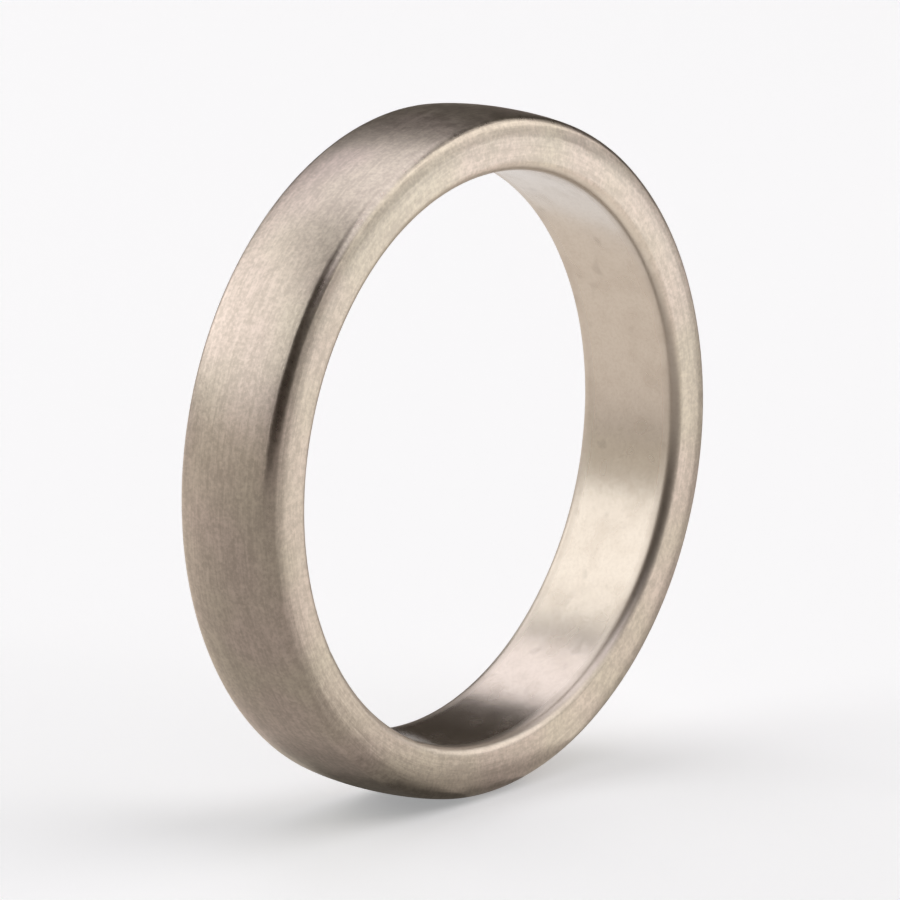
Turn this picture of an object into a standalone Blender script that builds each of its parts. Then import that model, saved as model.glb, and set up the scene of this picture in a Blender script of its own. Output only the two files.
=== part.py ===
"""A plain wedding band, turned from one ring of metal.

The band stands upright on its rim: the finger bore runs along Y, the origin is the
centre of the bore, and Z is up. Lengths are in metres.
"""

import math

import bmesh
import bpy

MM = 0.001

# Driving dimensions: each can be set by itself.
BORE_DIAMETER = 18.2 * MM
WALL = 1.85 * MM
BAND_WIDTH = 4.0 * MM
CROWN_RADIUS = 15.0 * MM
OUTER_EDGE_RADIUS = 0.42 * MM
INNER_EDGE_RADIUS = 0.55 * MM

# How finely the rounds are cut into flats.
STEPS_ROUND = 120
STEPS_CROWN = 6
STEPS_EDGE = 5

# Surface shading.
SMOOTH_BELOW = math.radians(30.0)
MERGE_DISTANCE = 0.0001 * MM

# The metal: a warm grey white gold with a satin finish.
METAL_COLOUR = (0.66, 0.59, 0.51, 1.0)
METAL_ROUGHNESS = 0.38
METAL_METALLIC = 1.0


def clear_scene():
    """Remove every object, so that the script can be run again in an open file."""
    for thing in list(bpy.data.objects):
        bpy.data.objects.remove(thing, do_unlink=True)


def metal():
    """The one material: satin metal."""
    material = bpy.data.materials.new("band_metal")
    material.use_nodes = True
    shader = material.node_tree.nodes["Principled BSDF"]
    shader.inputs["Base Color"].default_value = METAL_COLOUR
    shader.inputs["Roughness"].default_value = METAL_ROUGHNESS
    shader.inputs["Metallic"].default_value = METAL_METALLIC
    return material


def arc(centre, radius, start, end, steps):
    """Points of a circular arc in the section plane, ends included, from start to end."""
    across, along = centre
    points = []
    for step in range(steps + 1):
        angle = start + (end - start) * step / steps
        points.append((across + radius * math.cos(angle), along + radius * math.sin(angle)))
    return points


def section():
    """The band's cross-section, as a closed outline of (distance from axis, place along axis).

    It runs down the crowned outer side, round the lower outer edge, in along the flat
    side face, round the inner edge, up the straight bore and back out across the top.
    """
    bore_radius = BORE_DIAMETER / 2
    outer_radius = bore_radius + WALL
    half_width = BAND_WIDTH / 2
    half_turn = math.pi
    quarter_turn = math.pi / 2

    # Both outer edge rounds are tangent to the crown and to the flat side faces.
    edge_height = half_width - OUTER_EDGE_RADIUS
    edge_reach = CROWN_RADIUS - OUTER_EDGE_RADIUS
    lean = math.asin(edge_height / edge_reach)
    crown_centre = outer_radius - CROWN_RADIUS
    edge_centre = crown_centre + edge_reach * math.cos(lean)

    inner_centre = bore_radius + INNER_EDGE_RADIUS
    inner_height = half_width - INNER_EDGE_RADIUS

    crown = arc((crown_centre, 0.0), CROWN_RADIUS, lean, -lean, STEPS_CROWN)
    lower_outer = arc((edge_centre, -edge_height), OUTER_EDGE_RADIUS, -lean, -quarter_turn, STEPS_EDGE)
    lower_inner = arc((inner_centre, -inner_height), INNER_EDGE_RADIUS, -quarter_turn, -half_turn, STEPS_EDGE)
    upper_inner = arc((inner_centre, inner_height), INNER_EDGE_RADIUS, half_turn, quarter_turn, STEPS_EDGE)
    upper_outer = arc((edge_centre, edge_height), OUTER_EDGE_RADIUS, quarter_turn, lean, STEPS_EDGE)

    # The crown already holds the point where each outer edge round meets it.
    return crown + lower_outer[1:] + lower_inner + upper_inner + upper_outer[:-1]


def section_mesh(name):
    """A mesh of the section's outline: points joined by edges, ready to be swept."""
    drawing = bmesh.new()
    points = [drawing.verts.new((across, 0.0, along)) for across, along in section()]
    for here, there in zip(points, points[1:] + points[:1]):
        drawing.edges.new((here, there))
    mesh = bpy.data.meshes.new(name)
    drawing.to_mesh(mesh)
    drawing.free()
    return mesh


def sweep_round(thing):
    """Turn the section once round the bore's axis, as a lathe turns a ring."""
    screw = thing.modifiers.new("turned", "SCREW")
    screw.axis = "Z"
    screw.angle = 2 * math.pi
    screw.steps = STEPS_ROUND
    screw.render_steps = STEPS_ROUND
    screw.use_merge_vertices = True
    screw.merge_threshold = MERGE_DISTANCE


def apply_modifiers(thing):
    """Give the object the mesh that its modifiers make, and take them off."""
    turned = bpy.data.meshes.new_from_object(thing.evaluated_get(bpy.context.evaluated_depsgraph_get()))
    thing.modifiers.clear()
    thing.data = turned


def make_band():
    """The band: one turned ring of metal, standing on its rim."""
    band = bpy.data.objects.new("band", section_mesh("band_section"))
    bpy.context.collection.objects.link(band)
    sweep_round(band)
    apply_modifiers(band)
    band.data.shade_smooth()
    band.data.set_sharp_from_angle(angle=SMOOTH_BELOW)
    band.data.materials.append(metal())
    band.rotation_euler = (math.pi / 2, 0.0, 0.0)
    return band


clear_scene()
make_band()
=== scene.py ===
# %% [markdown]
# # A satin wedding band
#
# This lesson makes the finished look of a plain wedding band: one ring of warm grey white gold, brushed to a
# satin on the outside and the sides, and worn smoother in the bore. The engineering model is loaded first. It
# fixes the band's size and place, and nothing here moves it or makes it larger.

# %% Load the engineering model
import math

import bmesh
import bpy
from mathutils import Matrix, Vector


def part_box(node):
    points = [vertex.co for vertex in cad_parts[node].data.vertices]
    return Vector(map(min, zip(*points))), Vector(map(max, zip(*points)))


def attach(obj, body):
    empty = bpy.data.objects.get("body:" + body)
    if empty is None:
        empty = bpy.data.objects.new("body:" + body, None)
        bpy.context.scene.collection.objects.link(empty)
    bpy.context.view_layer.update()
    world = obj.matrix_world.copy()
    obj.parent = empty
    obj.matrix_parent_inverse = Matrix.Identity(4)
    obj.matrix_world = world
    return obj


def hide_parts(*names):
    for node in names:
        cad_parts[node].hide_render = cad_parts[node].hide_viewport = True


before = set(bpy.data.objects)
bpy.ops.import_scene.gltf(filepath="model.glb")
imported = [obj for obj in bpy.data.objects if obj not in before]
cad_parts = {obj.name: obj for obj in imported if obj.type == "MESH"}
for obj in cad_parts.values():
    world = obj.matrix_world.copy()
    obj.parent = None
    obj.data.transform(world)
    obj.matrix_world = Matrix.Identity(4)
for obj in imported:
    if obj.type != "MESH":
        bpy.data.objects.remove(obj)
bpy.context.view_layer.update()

# %% [markdown]
# ## The band's sizes
#
# The outside of the band comes from the engineering model's box. The bore isn't part of a box, so it is read
# from the model's own points: the nearest any point comes to the axis.
#
# What the box can't say is given here once, in metres: how round the edges and the crown are, how much
# further the shoulders fall beside the edges, and how far the two sides lean back at their outer end. That
# lean starts at a share of the wall, counted from the bore. A high power keeps a fall close to its end.

# %% Sizes of the section
MM = 0.001
node_low, node_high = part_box("band")
OUTER_RADIUS = (node_high.x - node_low.x) / 2
BAND_WIDTH = node_high.y - node_low.y
BORE_RADIUS = min(math.hypot(point.co.x, point.co.z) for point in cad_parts["band"].data.vertices)
WALL = OUTER_RADIUS - BORE_RADIUS
OUTER_EDGE = 0.23 * MM
INNER_EDGE = 0.38 * MM
CROWN_RADIUS = 15.0 * MM
SHOULDER_FALL = 0.03 * MM
SHOULDER_POWER = 6.0
FACE_FALL = 0.18 * MM
FACE_FALL_START = 0.3
FACE_FALL_POWER = 3.0
STEPS_PER_EDGE = 16
STEPS_AROUND = 480
STEPS_ACROSS = 200
print("outer radius, bore radius, wall, mm:", [round(v / MM, 3) for v in (OUTER_RADIUS, BORE_RADIUS, WALL)])

# %% [markdown]
# ## Writing node trees as sums
#
# Node trees for shapes and for materials are both mostly arithmetic. A `Wire` stands for one output of one
# node, and adding or multiplying wires adds the Math node that does it. Every other node is made by the one
# method `Tree.node`, which takes the node's type, its settings and what goes into its inputs.

# %% A wire that knows arithmetic
class Wire:
    """One output socket of a node, which can be added, multiplied and compared like a number."""

    def __init__(self, tree, socket):
        self.tree = tree
        self.socket = socket

    def math(self, operation, *others):
        return self.tree.node("ShaderNodeMath", {"operation": operation}, [self, *others])

    def __add__(self, other):
        return self.math("ADD", other)

    def __radd__(self, other):
        return self.math("ADD", other)

    def __mul__(self, other):
        return self.math("MULTIPLY", other)

    def __rmul__(self, other):
        return self.math("MULTIPLY", other)

    def __sub__(self, other):
        return self.math("SUBTRACT", other)

    def __rsub__(self, other):
        return self.tree.node("ShaderNodeMath", {"operation": "SUBTRACT"}, [other, self])

    def __truediv__(self, other):
        return self.math("DIVIDE", other)

    def __pow__(self, other):
        return self.math("POWER", other)

    def __gt__(self, other):
        return self.math("GREATER_THAN", other)

    def __lt__(self, other):
        return self.math("LESS_THAN", other)


class Tree:
    """A node tree that is filled by calling `node` once for each node."""

    def __init__(self, node_tree):
        self.node_tree = node_tree

    def node(self, kind, settings=None, inputs=None, output=0):
        """Add a node: settings first, then values or wires for its inputs, by place or by name."""
        made = self.node_tree.nodes.new(kind)
        for name, value in (settings or {}).items():
            setattr(made, name, value)
        pairs = inputs.items() if isinstance(inputs, dict) else enumerate(inputs or [])
        for key, value in pairs:
            if isinstance(value, Wire):
                self.node_tree.links.new(value.socket, made.inputs[key])
            elif value is not None:
                made.inputs[key].default_value = value
        if not made.outputs:
            return made
        return Wire(self, made.outputs[output])


def smooth_step(value, low, high):
    """For a wire: 0 at low, 1 at high and a smooth ramp between, whichever of the two is larger."""
    return value.tree.node("ShaderNodeMapRange", {"interpolation_type": "SMOOTHSTEP"},
                           {"Value": value, "From Min": low, "From Max": high, "To Min": 0.0, "To Max": 1.0})


# %% [markdown]
# ## The shape of the band
#
# A jeweller turns this band on a lathe from a ring blank: the tool follows one section while the metal goes
# round. Geometry Nodes can do the same. A rectangle is the blank's section, its corners are filleted (softer
# inside, where the finger goes), the outer side is crowned by drawing its ends in, the two sides fall back a
# little towards the outside, as filing leaves them, and the section is then swept along a circle. A Screw
# modifier would do that too, but in a node tree each size stays a named input.

# %% The section and the path
def section_curve(tree, size):
    """The band's section, across X and along Y, with its fillets, its crown and its falling sides."""
    blank = tree.node("GeometryNodeCurvePrimitiveQuadrilateral", {"mode": "RECTANGLE"},
                      {"Width": size["Wall"], "Height": size["Band Width"]})
    place = tree.node("GeometryNodeInputPosition")
    across = tree.node("ShaderNodeSeparateXYZ", inputs=[place])
    along = tree.node("ShaderNodeSeparateXYZ", inputs=[place], output=1)
    edge = size["Inner Edge"] + (size["Outer Edge"] - size["Inner Edge"]) * (across > 0.0)
    rounded = tree.node("GeometryNodeFilletCurve", {"mode": "POLY"},
                        {"Curve": blank, "Count": STEPS_PER_EDGE, "Radius": edge})
    even = tree.node("GeometryNodeResampleCurve", {}, {"Curve": rounded, "Count": size["Steps Across"]})
    share = across / size["Wall"] + 0.5
    aside = along / (size["Band Width"] * 0.5)
    shoulder = size["Shoulder Fall"] * aside ** SHOULDER_POWER
    crown = share * (along * along / (2.0 * size["Crown Radius"]) + shoulder)
    outwards = ((share - FACE_FALL_START) / (1.0 - FACE_FALL_START)).math("MAXIMUM", 0.0)
    fall = size["Face Fall"] * outwards ** FACE_FALL_POWER * aside
    drawn_in = tree.node("ShaderNodeCombineXYZ", inputs=[crown * -1.0, fall * -1.0])
    return tree.node("GeometryNodeSetPosition", {}, {"Geometry": even, "Offset": drawn_in})


def middle_circle(tree, size):
    """A circle through the middle of the wall, which the section follows."""
    middle = size["Bore Radius"] + size["Wall"] * 0.5
    return tree.node("GeometryNodeCurvePrimitiveCircle", {"mode": "RADIUS"},
                     {"Radius": middle, "Resolution": size["Steps Around"]})


def kept_factor(tree, curve, name):
    """The curve, on which each point keeps how far along it lies, from 0 to 1, under this name."""
    factor = tree.node("GeometryNodeSplineParameter")
    return tree.node("GeometryNodeStoreNamedAttribute", {"data_type": "FLOAT", "domain": "POINT"},
                     {"Geometry": curve, "Name": name, "Value": factor})


SEAM_JUMP = 0.25


def unrolled(tree):
    """The band peeled off like a label: how far round and how far across, each from 0 to 1.

    The faces that close the circle reach from nearly 1 back to 0, a jump that no other face has. Their low
    corners go up by 1.
    """
    parts = []
    for name in ("around", "across"):
        value = tree.node("GeometryNodeInputNamedAttribute", {"data_type": "FLOAT"}, {"Name": name})
        face_mean = tree.node("GeometryNodeFieldOnDomain", {"data_type": "FLOAT", "domain": "FACE"}, [value])
        off = (value - face_mean).math("ABSOLUTE")
        parts.append(value + (off > SEAM_JUMP) * (value < 0.5))
    return tree.node("ShaderNodeCombineXYZ", inputs=parts)


# %% [markdown]
# ## Wear that can be felt
#
# A band that has been worn for years isn't a perfect turning any more. Its surfaces have gone slightly wavy,
# by a hundredth of a millimetre or two, which is what makes the light on them drift. The lathe's shallow
# rings are still there on the two sides, and knocks have left a few nicks. All are real changes of shape, so
# they are pushed into the mesh along its normals, always inwards: metal is only ever lost. Sculpting would do
# for one band, but sizes in a list can be changed and run again.

# %% Waves, rings and nicks
WAVE_DEPTH = 0.008 * MM
WAVE_LENGTH = 2.2 * MM
HAND_DEPTH = 0.024 * MM
HAND_LENGTH = 6.0 * MM
RING_DEPTH = 0.008 * MM
RING_PITCH = 0.22 * MM
RING_DRIFT = 9.0 * MM
RING_REACH = (0.30 * MM, 0.12 * MM)
# Each nick: degrees round the band from the right over the top, then in mm its distance from the axis, its
# place along the bore, its radius and its depth.
NICKS = (
    (64.0, 10.40, -1.95, 0.24, 0.022),
    (188.4, 9.50, -1.98, 0.20, 0.028),
    (210.0, 9.28, -1.88, 0.20, 0.030),
    (245.8, 9.18, -1.70, 0.22, 0.030),
    (251.0, 9.35, -1.95, 0.13, 0.040),
    (233.0, 10.70, -1.86, 0.20, 0.035),
    (118.0, 10.80, -1.76, 0.20, 0.016),
    (151.0, 10.93, -0.60, 0.16, 0.018),
    (204.0, 10.92, 0.70, 0.20, 0.016),
    (318.0, 10.66, -1.92, 0.15, 0.035),
    (20.0, 10.78, 1.78, 0.18, 0.045),
    (140.0, 9.20, 1.86, 0.15, 0.050),
    (292.0, 10.70, 1.88, 0.16, 0.045),
)


def noise_at(tree, place, length):
    """Smooth noise from 0 to 1 whose lumps are about this long."""
    return tree.node("ShaderNodeTexNoise", {"noise_dimensions": "3D"},
                     {"Vector": place, "Scale": 1.0 / length, "Detail": 1.0, "Roughness": 0.4})


def lathe_rings(tree, place):
    """Shallow rings that the lathe left on the two sides, as a depth."""
    x, y, z = (tree.node("ShaderNodeSeparateXYZ", inputs=[place], output=k) for k in range(3))
    radius = (x * x + z * z) ** 0.5
    on_side = smooth_step(BAND_WIDTH / 2 - y.math("ABSOLUTE"), *RING_REACH)
    drift = tree.node("ShaderNodeCombineXYZ", inputs=[radius / RING_PITCH, x / RING_DRIFT, z / RING_DRIFT])
    rings = tree.node("ShaderNodeTexNoise", {"noise_dimensions": "3D"},
                      {"Vector": drift, "Scale": 1.0, "Detail": 0.0})
    return rings * on_side * RING_DEPTH


def lost_metal(tree, place):
    """How deep the wear goes at each point, in metres."""
    depth = noise_at(tree, place, WAVE_LENGTH) * WAVE_DEPTH + noise_at(tree, place, HAND_LENGTH) * HAND_DEPTH
    depth = depth + lathe_rings(tree, place)
    for degrees, radius, along, reach, deep in NICKS:
        turn = math.radians(degrees)
        centre = Vector((radius * math.cos(turn), along, radius * math.sin(turn))) * MM
        away = tree.node("ShaderNodeVectorMath", {"operation": "DISTANCE"}, [place, centre], output="Value")
        depth = depth + smooth_step(away, reach * MM, 0.0) * (deep * MM)
    return depth


def worn(tree, geometry):
    """The geometry with its wear pushed in along the normals."""
    place = tree.node("GeometryNodeInputPosition")
    normal = tree.node("GeometryNodeInputNormal")
    inward = tree.node("ShaderNodeVectorMath", {"operation": "SCALE"},
                       {"Vector": normal, "Scale": lost_metal(tree, place) * -1.0})
    return tree.node("GeometryNodeSetPosition", {}, {"Geometry": geometry, "Offset": inward})


print("wear:", len(NICKS), "nicks, and waves up to", round((WAVE_DEPTH + HAND_DEPTH) / MM, 3), "mm deep")

# %% [markdown]
# ## Turning the band
#
# The tree goes on an empty mesh as a modifier. The satin is set on it by its input's identifier before
# anything is evaluated; the sizes are already the tree's own defaults. The evaluated result is taken as a
# plain mesh, and the modifier goes.

# %% The whole tree
def turning_tree():
    """The node tree that turns the band and wears it."""
    tree = Tree(bpy.data.node_groups.new("turn the band", "GeometryNodeTree"))
    tree.node_tree.interface.new_socket(name="Geometry", in_out="OUTPUT", socket_type="NodeSocketGeometry")
    named_inputs = (
        ("Float", {"Bore Radius": BORE_RADIUS, "Wall": WALL, "Band Width": BAND_WIDTH,
                   "Outer Edge": OUTER_EDGE, "Inner Edge": INNER_EDGE, "Crown Radius": CROWN_RADIUS,
                   "Shoulder Fall": SHOULDER_FALL, "Face Fall": FACE_FALL}),
        ("Int", {"Steps Around": STEPS_AROUND, "Steps Across": STEPS_ACROSS}),
        ("Material", {"Material": None}),
    )
    for kind, values in named_inputs:
        for name, value in values.items():
            made = tree.node_tree.interface.new_socket(name=name, in_out="INPUT",
                                                       socket_type="NodeSocket" + kind)
            made.default_value = value
    entry = tree.node_tree.nodes.new("NodeGroupInput")
    size = {socket.name: Wire(tree, socket) for socket in entry.outputs if socket.name}

    section = kept_factor(tree, section_curve(tree, size), "across")
    path = kept_factor(tree, middle_circle(tree, size), "around")
    swept = tree.node("GeometryNodeCurveToMesh", {}, {"Curve": path, "Profile Curve": section})
    stood = tree.node("GeometryNodeTransform", {}, {"Geometry": swept, "Rotation": (math.pi / 2, 0.0, 0.0)})
    mapped = tree.node("GeometryNodeStoreNamedAttribute", {"data_type": "FLOAT2", "domain": "CORNER"},
                       {"Geometry": stood, "Name": "OFBake", "Value": unrolled(tree)})
    smooth = tree.node("GeometryNodeSetShadeSmooth", {}, {"Geometry": worn(tree, mapped)})
    real = tree.node("GeometryNodeRealizeInstances", {}, {"Geometry": smooth})
    done = tree.node("GeometryNodeSetMaterial", {}, {"Geometry": real, "Material": size["Material"]})
    tree.node("NodeGroupOutput", {}, {"Geometry": done})
    return tree.node_tree


# %% Turn it
def turned(name, node_tree, values):
    """An object with the plain mesh that the tree makes from these input values."""
    holder = bpy.data.objects.new(name, bpy.data.meshes.new(name))
    bpy.context.scene.collection.objects.link(holder)
    modifier = holder.modifiers.new(name, "NODES")
    modifier.node_group = node_tree
    for item in node_tree.interface.items_tree:
        if item.in_out == "INPUT" and item.name in values:
            modifier[item.identifier] = values[item.name]
    evaluated = holder.evaluated_get(bpy.context.evaluated_depsgraph_get())
    mesh = bpy.data.meshes.new_from_object(evaluated)
    holder.modifiers.clear()
    holder.data = mesh
    return holder


satin = bpy.data.materials.new("satin white gold")
band = turned("wedding_band", turning_tree(), {"Material": satin})
for spare in ("around", "across"):
    band.data.attributes.remove(band.data.attributes[spare])
print("band:", len(band.data.vertices), "points,", len(band.data.polygons), "faces,",
      [round(size / MM, 3) for size in band.dimensions], "mm")

# %% [markdown]
# ## The satin finish
#
# White gold is a warm grey. Here it was rubbed along the band with an abrasive, so short fine scratches run
# round it, and years of wear have broken them up into a soft grain. The bore was polished by the finger: its
# scratches are faint, and it has soft smudges and a few dull specks instead.
#
# Marks this fine are a material's work, not a mesh's: they are a few thousandths of a millimetre deep. They
# go in as bump, and a little into the colour and the roughness, because scratched metal also holds grey dirt.
# The patterns are measured from the object's own coordinates, so the grain keeps its scale and the lines
# follow the ring.

# %% Sizes of the marks
# Lines: how narrow they are and how long. Lumps: how large they are.
HAIRLINE = (0.012 * MM, 5.0 * MM)
SCRATCH = (0.06 * MM, 0.9 * MM)
STREAK = (0.17 * MM, 2.2 * MM)
STIPPLE_SIZE = 0.12 * MM
PATCH_SIZE = 0.38 * MM
SPECK_SIZE = 0.60 * MM
HOLLOW_SIZE = 0.70 * MM
SMUDGE_SIZE = 0.95 * MM
TONE_SIZE = 3.2 * MM
# Ramps: the noise at which a mark begins to show, and at which it is full.
SMUDGE_RAMP = (0.35, 0.85)
SPECK_RAMP = (0.69, 0.84)
# Reaches: at what distance from a face a finish begins, and where it is full.
BORE_REACH = (0.35 * MM, 0.06 * MM)
CORNER_REACH = (0.40 * MM, 0.20 * MM)
CORNER_SIDE_REACH = (0.45 * MM, 0.22 * MM)
LIP_REACH = (0.45 * MM, 0.15 * MM)
LIP_SIDE_REACH = (0.65 * MM, 0.35 * MM)


# %% Where on the band a point lies
class Places:
    """The wires that say where a point lies on the band, in metres, and on which part of it."""

    def __init__(self, tree):
        self.tree = tree
        self.point = tree.node("ShaderNodeTexCoord", output="Object")
        self.x, self.y, self.z = (tree.node("ShaderNodeSeparateXYZ", inputs=[self.point], output=k)
                                  for k in range(3))
        self.radius = (self.x * self.x + self.z * self.z) ** 0.5
        above_bore = self.radius - BORE_RADIUS
        under_outside = OUTER_RADIUS - self.radius
        from_side = BAND_WIDTH / 2 - self.y.math("ABSOLUTE")
        self.bore = smooth_step(above_bore, *BORE_REACH)
        self.corner = smooth_step(under_outside, *CORNER_REACH) * smooth_step(from_side, *CORNER_SIDE_REACH)
        self.lip = smooth_step(above_bore, *LIP_REACH) * smooth_step(from_side, *LIP_SIDE_REACH)

    def lines(self, pitch, length):
        """Noise from 0 to 1 in fine lines round the band: this narrow across and this long along."""
        across = self.tree.node("ShaderNodeCombineXYZ",
                                inputs=[self.radius / pitch, self.y / pitch, self.x / length])
        return self.tree.node("ShaderNodeTexNoise", {"noise_dimensions": "4D"},
                              {"Vector": across, "W": self.z / length, "Scale": 1.0, "Detail": 1.0,
                               "Roughness": 0.6})

    def grain(self, size, detail=1.0):
        """Noise from 0 to 1 in even lumps of this size."""
        return self.tree.node("ShaderNodeTexNoise", {"noise_dimensions": "3D"},
                              {"Vector": self.point, "Scale": 1.0 / size, "Detail": detail, "Roughness": 0.6})


def marked(places):
    """The marks by name, each a wire from 0 to 1."""
    return {
        "hairlines": places.lines(*HAIRLINE),
        "scratches": places.lines(*SCRATCH),
        "streaks": places.lines(*STREAK),
        "stipple": places.grain(STIPPLE_SIZE, detail=2.0),
        "patches": places.grain(PATCH_SIZE, detail=2.0),
        "smudges": smooth_step(places.grain(SMUDGE_SIZE), *SMUDGE_RAMP),
        "specks": smooth_step(places.grain(SPECK_SIZE, detail=0.0), *SPECK_RAMP),
    }


# %% [markdown]
# ## Colour
#
# The clean metal drifts a little between rosy and greenish, a few millimetres apart. Dirt lies where the
# surface is lowest, so one mix of the marks, in shares that add up to 1, says where the dull colour goes. An
# image could hold such dirt too, but patterns that are worked out have no seam and stay sharp close up.

# %% The colour of the metal
ROSY_METAL = (0.70, 0.61, 0.56)
GREENISH_METAL = (0.67, 0.615, 0.53)
DULL_METAL = (0.42, 0.375, 0.33)
BORE_METAL = (0.67, 0.615, 0.555)
SMUDGED_METAL = (0.55, 0.485, 0.42)
TONE_RAMP = (0.35, 0.65)
DIRT_SHARES = {"scratches": 0.17, "streaks": 0.18, "stipple": 0.38, "patches": 0.27}
DIRT_RAMP = (0.64, 0.38)
DIRT_STRENGTH = 0.70
SMUDGE_STRENGTH = 0.36
HAZE_RAMP = (0.60, 0.30)
HAZE_STRENGTH = 0.24
SPECK_STRENGTH = 0.32


def blend(tree, factor, first, second):
    """One colour turning into another as the factor goes from 0 to 1.

    A Mix node has its two colours at inputs 6 and 7, and their mix at output 2.
    """
    made = tree.node("ShaderNodeMix", {"data_type": "RGBA", "clamp_factor": True}, {0: factor}, output=2)
    for key, colour in ((6, first), (7, second)):
        if isinstance(colour, Wire):
            tree.node_tree.links.new(colour.socket, made.socket.node.inputs[key])
        else:
            made.socket.node.inputs[key].default_value = (*colour, 1.0)
    return made


def satin_colour(tree, places, marks):
    """The colour of the outside and the sides: clean metal with grey dirt in its marks."""
    height = sum(marks[name] * share for name, share in DIRT_SHARES.items())
    clean = blend(tree, smooth_step(places.grain(TONE_SIZE), *TONE_RAMP), ROSY_METAL, GREENISH_METAL)
    return blend(tree, smooth_step(height, *DIRT_RAMP) * DIRT_STRENGTH, clean, DULL_METAL)


def bore_colour(tree, marks):
    """The colour of the bore: smoother metal with faint smudges and specks."""
    haze = smooth_step(marks["stipple"], *HAZE_RAMP) * HAZE_STRENGTH
    smudged = blend(tree, marks["smudges"] * SMUDGE_STRENGTH + haze, BORE_METAL, SMUDGED_METAL)
    return blend(tree, marks["specks"] * SPECK_STRENGTH, smudged, DULL_METAL)


# %% [markdown]
# ## Relief and sheen
#
# The relief is a height in metres, so the Bump node's distance is 1. Wear has rubbed it down in the bore and
# a little on the outer edge. Roughness spreads the light that the metal throws back: least in the bore, a
# little less than elsewhere on the outer edge, and most on the lip round the bore. Real scratches, cut into
# the mesh, would need millions of faces to do the same.

# %% The relief and the roughness
HAIRLINE_DEPTH = 0.0020 * MM
SCRATCH_DEPTH = 0.0030 * MM
STREAK_DEPTH = 0.0030 * MM
STIPPLE_DEPTH = 0.0036 * MM
HOLLOW_DEPTH = 0.0030 * MM
BORE_RUBBED = 0.6
CORNER_RUBBED = 0.4
SATIN_ROUGHNESS = 0.34
BORE_SMOOTHER = 0.10
CORNER_SMOOTHER = 0.06
LIP_ROUGHER = 0.13
PATCH_SPREAD = 0.12
SMUDGE_ROUGHER = 0.05


def relief(places, marks):
    """How high the metal's fine marks stand, in metres."""
    satin = (marks["scratches"] * SCRATCH_DEPTH + marks["streaks"] * STREAK_DEPTH
             + marks["stipple"] * STIPPLE_DEPTH) * (1.0 - places.bore)
    left = (1.0 - places.bore * BORE_RUBBED) * (1.0 - places.corner * CORNER_RUBBED)
    return (marks["hairlines"] * HAIRLINE_DEPTH + satin) * left + places.grain(HOLLOW_SIZE) * HOLLOW_DEPTH


def sheen(places, marks):
    """How rough each place is."""
    parts = SATIN_ROUGHNESS - places.bore * BORE_SMOOTHER - places.corner * CORNER_SMOOTHER
    patchy = (marks["patches"] - 0.5) * (1.0 - places.bore) * PATCH_SPREAD
    return parts + places.lip * LIP_ROUGHER + patchy + marks["smudges"] * places.bore * SMUDGE_ROUGHER


# %% The satin metal
def satin_metal(material):
    """Brushed and worn on the outside and the sides, smoother and smudged in the bore."""
    material.use_nodes = True
    material.node_tree.nodes.clear()
    tree = Tree(material.node_tree)
    places = Places(tree)
    marks = marked(places)
    colour = blend(tree, places.bore, satin_colour(tree, places, marks), bore_colour(tree, marks))
    height = relief(places, marks)
    bump = tree.node("ShaderNodeBump", {}, {"Height": height, "Strength": 1.0, "Distance": 1.0})
    shader = tree.node("ShaderNodeBsdfPrincipled", {}, {
        "Base Color": colour, "Metallic": 1.0, "Roughness": sheen(places, marks), "Normal": bump})
    tree.node("ShaderNodeOutputMaterial", {}, {"Surface": shader})
    print(material.name + ":", len(material.node_tree.nodes), "nodes")


satin_metal(satin)
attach(band, "root")
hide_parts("band")

# %% [markdown]
# ## The studio
#
# Metal has hardly any look of its own: it shows what stands around it. So the studio is plain and soft, but
# it isn't evenly white. One large light hangs overhead, one stands to the front right and fills the side
# face, and one behind to the left gives the outside its highlight. Three small ones fill in round them.
# Between them the room is dark, and those dark gaps draw the shape: the deep tone at the bottom of the bore,
# the dark shoulder at the top right and the dark line along the outer edge.
#
# A softbox could be a glowing card or an area light. Area lights give less noise, and each is hidden from the
# camera, so that none shows in the picture.

# %% Directions round the band
def facing(azimuth, elevation):
    """The right, up and outward directions of something that faces the band from here, in degrees.

    Azimuth 0 is the front, and it grows towards the right.
    """
    turn, rise = math.radians(azimuth), math.radians(elevation)
    right = Vector((math.cos(turn), math.sin(turn), 0.0))
    away = Vector((math.sin(turn) * math.cos(rise), -math.cos(turn) * math.cos(rise), math.sin(rise)))
    return right, away.cross(right), away


def placed(thing, azimuth, elevation, distance, aside=0.0, above=0.0):
    """Put a light or a camera in the scene, facing the band, moved a little aside and up if asked."""
    right, up, away = facing(azimuth, elevation)
    thing.location = away * distance + right * aside + up * above
    thing.rotation_mode = "QUATERNION"
    thing.rotation_quaternion = Matrix((right, up, away)).transposed().to_quaternion()
    bpy.context.scene.collection.objects.link(thing)


# %% Soft lights
LIGHT_DISTANCE = 0.5
# Each: azimuth and elevation, half its width and height as angles, and its brightness in red, green and blue.
SOFT_LIGHTS = {
    "overhead soft light": (81.3, 80.0, 51.2, 18.5, (1.34, 1.27, 1.30)),
    "small overhead light": (-137.0, 67.0, 10.0, 6.5, (0.80, 0.76, 0.74)),
    "front right soft light": (48.2, 26.0, 30.9, 18.4, (1.60, 1.52, 1.42)),
    "back left soft light": (-146.0, 34.0, 30.0, 19.5, (1.42, 1.38, 1.32)),
    "low left light": (-128.0, 5.0, 22.0, 8.0, (0.60, 0.55, 0.47)),
    "low back light": (180.0, 13.0, 26.0, 13.0, (0.75, 0.72, 0.68)),
}
ROOM_TONE = (0.046, 0.037, 0.029)


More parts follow.
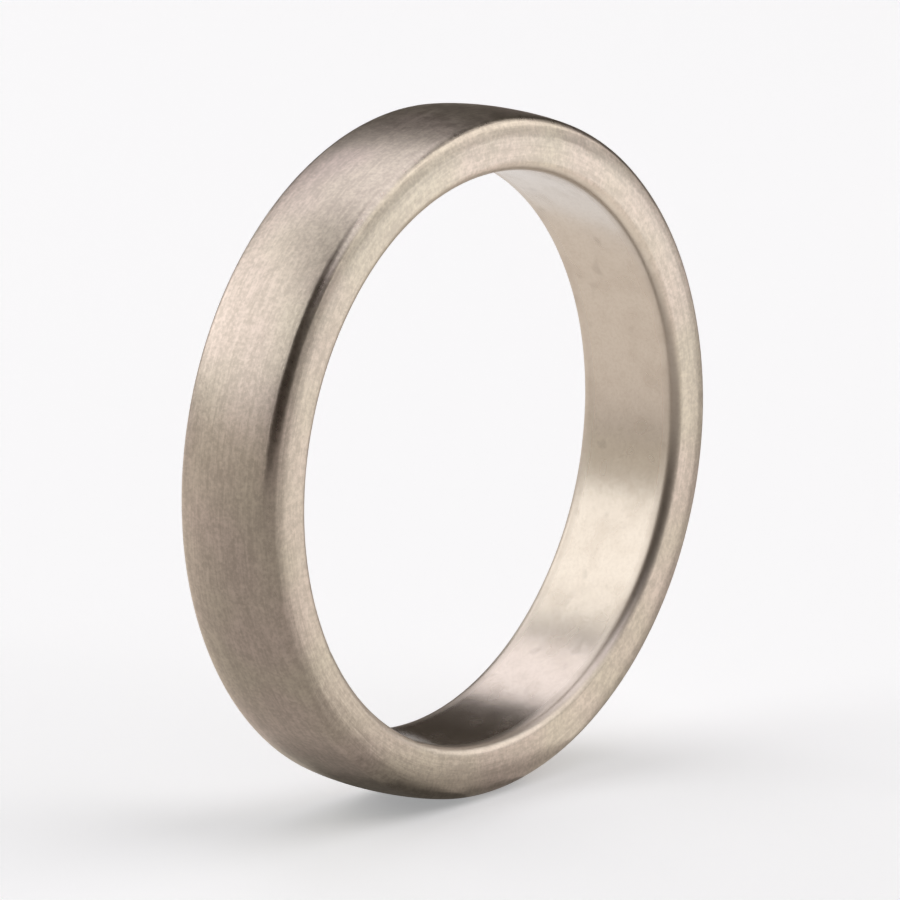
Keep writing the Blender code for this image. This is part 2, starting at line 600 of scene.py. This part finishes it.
def soft_light(name, azimuth, elevation, half_wide, half_high, brightness):
    """A rectangular light that looks this wide, this high and this bright from the band."""
    data = bpy.data.lights.new(name, "AREA")
    data.shape = "RECTANGLE"
    data.size = 2 * LIGHT_DISTANCE * math.tan(math.radians(half_wide))
    data.size_y = 2 * LIGHT_DISTANCE * math.tan(math.radians(half_high))
    strongest = max(brightness)
    data.color = [part / strongest for part in brightness]
    data.energy = strongest * math.pi * data.size * data.size_y
    thing = bpy.data.objects.new(name, data)
    thing.visible_camera = False
    placed(thing, azimuth, elevation, LIGHT_DISTANCE)
    print(name, [round(side, 3) for side in (data.size, data.size_y)], "m,", round(data.energy, 3), "W")


for light_name, values in SOFT_LIGHTS.items():
    soft_light(light_name, *values)

world = bpy.data.worlds.new("dim room")
world.use_nodes = True
world.node_tree.nodes["Background"].inputs["Color"].default_value = (*ROOM_TONE, 1.0)
bpy.context.scene.world = world
bpy.context.scene.view_settings.view_transform = "Standard"

# %% [markdown]
# ## Floor, backdrop and cards
#
# The camera sees a pale floor that takes the band's soft shadow, and a pale dome beyond it. Neither may show
# in the metal, or the band would go as pale as they are. What the metal sees below it is a mid-grey table top
# with cards on it, as a product studio lays them: bright ones to the front right, brighter further off, which
# light the side face and the inner edge, and fainter ones behind. The dim cards close under the band are
# painted shade, standing in for the shade where the band keeps the light off. Cycles lets each object choose
# which rays see it.

# %% The pale floor and backdrop, for the camera
STAGE_RADIUS = 0.6
FLOOR_COLOUR = (0.87, 0.895, 0.92)
FLOOR_GLOW = 0.33
BACKDROP_TONE = (0.92, 0.92, 0.92)
DOME_SEGMENTS = 64


def stage_piece(name, mesh, settings):
    """Put a piece of the stage in the scene, with a Principled material of these settings."""
    thing = bpy.data.objects.new(name, mesh)
    bpy.context.scene.collection.objects.link(thing)
    material = bpy.data.materials.new(name)
    material.use_nodes = True
    for socket, value in {"Specular IOR Level": 0.0, "Roughness": 1.0, **settings}.items():
        material.node_tree.nodes["Principled BSDF"].inputs[socket].default_value = value
    mesh.materials.append(material)
    return thing


def glowing(tone, strength=1.0, colour=(0.0, 0.0, 0.0)):
    """Settings for a surface that glows in this tone, and has this colour in the light that falls on it."""
    return {"Base Color": (*colour, 1.0), "Emission Color": (*tone, 1.0), "Emission Strength": strength}


def floor():
    """A pale floor at the band's lowest point, lit a little from below as on a light table."""
    mesh = bpy.data.meshes.new("floor")
    corners = [(x * STAGE_RADIUS, y * STAGE_RADIUS, node_low.z)
               for x, y in ((-1, -1), (1, -1), (1, 1), (-1, 1))]
    mesh.from_pydata(corners, [], [(0, 1, 2, 3)])
    thing = stage_piece("floor", mesh, glowing(FLOOR_COLOUR, FLOOR_GLOW, FLOOR_COLOUR))
    thing.visible_glossy = False


def backdrop():
    """A pale dome that only the camera sees."""
    dome = bmesh.new()
    bmesh.ops.create_uvsphere(dome, u_segments=DOME_SEGMENTS, v_segments=DOME_SEGMENTS // 2,
                              radius=STAGE_RADIUS)
    bmesh.ops.reverse_faces(dome, faces=dome.faces)
    mesh = bpy.data.meshes.new("backdrop")
    dome.to_mesh(mesh)
    dome.free()
    thing = stage_piece("backdrop", mesh, glowing(BACKDROP_TONE))
    thing.visible_diffuse = thing.visible_glossy = thing.visible_shadow = thing.visible_transmission = False


floor()
backdrop()

# %% The table top and cards, for the metal
# The step is the angle between a card's corners, and each card lies this much above the one before.
CARD_STEP = 5
CARD_LIFT = 0.004 * MM
# Each: where it starts and ends, in degrees from the right towards the back, its inner and outer distance
# from the band's middle in mm, and its brightness in red, green and blue.
CARDS = {
    "grey table top": (0, 360, 0.0, 600.0, (0.440, 0.395, 0.355)),
    # The next three cards are painted shade: dim glowing sheets where the band keeps the light off the floor.
    "shade where the band touches": (0, 360, 0.0, 2.6, (0.200, 0.180, 0.160)),
    "half shade near the band": (120, 240, 0.0, 6.8, (0.260, 0.235, 0.210)),
    "shade under the band": (120, 240, 0.0, 5.0, (0.100, 0.090, 0.080)),
    "front right card": (280, 338, 6.2, 60.0, (1.18, 1.10, 1.00)),
    "middle front right card": (299, 336, 60.0, 90.0, (1.28, 1.21, 1.12)),
    "far front right card": (299, 340, 90.0, 600.0, (1.82, 1.79, 1.72)),
    "back right card": (36, 52, 3.0, 156.0, (0.93, 0.91, 0.91)),
    "small back right card": (8, 36, 28.0, 44.0, (0.85, 0.82, 0.78)),
    "back card": (52, 140, 3.0, 156.0, (0.845, 0.765, 0.690)),
}


def card(name, start, end, inner, outer, brightness, layer):
    """A flat ring sector on the floor, which only reflections see."""
    count = round((end - start) / CARD_STEP)
    turns = [math.radians(start + (end - start) * k / count) for k in range(count + 1)]
    height = node_low.z + layer * CARD_LIFT
    points = [(math.cos(turn) * far * MM, math.sin(turn) * far * MM, height)
              for far in (inner, outer) for turn in turns]
    sides = [(k, k + count + 1, k + count + 2, k + 1) for k in range(count)]
    mesh = bpy.data.meshes.new(name)
    mesh.from_pydata(points, [], sides)
    thing = stage_piece(name, mesh, glowing(brightness))
    thing.visible_camera = thing.visible_diffuse = thing.visible_shadow = thing.visible_transmission = False


for layer, (card_name, values) in enumerate(CARDS.items()):
    card(card_name, *values, layer)
print("stage:", ", ".join(["floor", "backdrop", *CARDS]))

# %% [markdown]
# ## The camera
#
# A small object is shown best through a long lens from a hand's length or two away. The camera looks at the
# middle of the band from the front left and a little above. Depth of field stays off, so every part is sharp.

# %% Camera
CAMERA_AZIMUTH = -50.53
CAMERA_ELEVATION = 13.06
CAMERA_DISTANCE = 281.5 * MM
LENS = 358.27
AIM_RIGHT = 0.0424 * MM
AIM_UP = 0.0397 * MM

lens = bpy.data.cameras.new("camera")
lens.lens = LENS
lens.clip_start = 1.0 * MM
camera = bpy.data.objects.new("camera", lens)
placed(camera, CAMERA_AZIMUTH, CAMERA_ELEVATION, CAMERA_DISTANCE, AIM_RIGHT, AIM_UP)
bpy.context.scene.camera = camera
print("camera:", [round(at, 4) for at in camera.location], "m")
